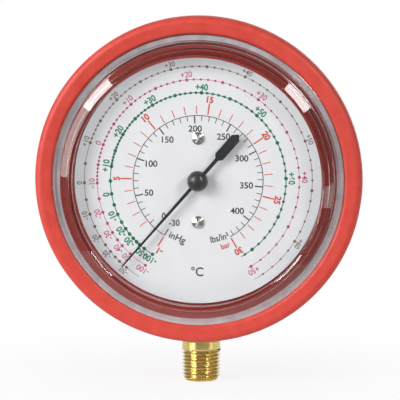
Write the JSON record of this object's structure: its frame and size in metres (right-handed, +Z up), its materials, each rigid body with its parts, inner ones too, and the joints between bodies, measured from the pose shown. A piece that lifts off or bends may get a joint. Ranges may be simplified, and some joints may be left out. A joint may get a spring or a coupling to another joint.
{
  "type": "refrigerant pressure gauge",
  "caption": "Round dial pressure gauge with a moulded red case, clear raised lens, white dial, black pointer and a threaded brass stem below.",
  "frame": {"origin": "on the stem's axis, in the plane where a mating tapered thread is hand tight", "axes": "+Z up along the stem towards the dial, the dial faces -Y, +X to the right of the dial"},
  "size_m": [0.0862, 0.0305, 0.0981],
  "materials": {
    "red_case": "moulded, satin, coral red",
    "clear_lens": "clear moulded polycarbonate, polished",
    "black_rubber": "moulded nitrile rubber",
    "pale_rubber": "pale grey silicone rubber",
    "dial_white": "white enamel on aluminium, printed scales",
    "polished_steel": "bright nickel-plated steel",
    "zinc_steel": "zinc-plated steel",
    "stem_brass": "turned brass",
    "movement_brass": "stamped brass",
    "tube_bronze": "drawn phosphor bronze",
    "pointer_black": "black enamel on aluminium",
    "hub_black": "gloss black"
  },
  "bodies": {
    "housing": {"case": "red_case", "case_screws": "zinc_steel", "relief_plug": "black_rubber", "stem_grommet": "black_rubber", "socket": "stem_brass", "restrictor_screw": "stem_brass", "lens": "clear_lens", "lens_gasket": "pale_rubber", "dial": "dial_white", "dial_screws": "polished_steel", "dial_posts": "movement_brass", "front_plate": "movement_brass", "back_plate": "movement_brass", "plate_pillars": "movement_brass", "plate_screws": "polished_steel", "movement_screws": "zinc_steel", "bourdon_tube": "tube_bronze", "hairspring": "tube_bronze", "hairspring_stud": "movement_brass"},
    "pointer_train": {"pointer": "pointer_black", "pointer_hub": "hub_black", "pinion": "movement_brass", "pinion_arbor": "polished_steel", "hairspring_collet": "movement_brass"},
    "sector": {"sector_gear": "movement_brass", "sector_bush": "movement_brass", "sector_arbor": "polished_steel", "link_screw": "polished_steel"},
    "link": {"link": "movement_brass"},
    "tube_tip": {"tube_end": "movement_brass", "tip_pin": "polished_steel"}
  },
  "joints": [
    {"name": "sector_pivot", "type": "hinge", "parent": "housing", "child": "sector", "pos_m": [0.0081, 0, 0.03434], "axis": [0, 1, 0], "range_deg": [-28.9, 1.02], "stiffness_Nm_per_rad": 0.1},
    {"name": "pointer_turn", "type": "hinge", "parent": "housing", "child": "pointer_train", "pos_m": [0, 0, 0.05095], "axis": [0, 1, 0], "range_deg": [-10.2, 289], "deforming": ["hairspring"]},
    {"name": "link_pivot", "type": "hinge", "parent": "sector", "child": "link", "pos_m": [0.01082, 0, 0.03075], "axis": [0, 1, 0], "range_deg": [-1.02, 28.9]},
    {"name": "tube_tip_bend", "type": "hinge", "parent": "housing", "child": "tube_tip", "pos_m": [-0.00269, 0, 0.05745], "axis": [0, 1, 0], "range_deg": [-4.66, 0.16], "deforming": ["bourdon_tube"]}
  ],
  "couplings": [
    {"joint": "pointer_turn", "follows": "sector_pivot", "ratio": -10},
    {"joint": "link_pivot", "follows": "sector_pivot", "ratio": -1},
    {"joint": "tube_tip_bend", "follows": "sector_pivot", "ratio": 0.1612}
  ]
}
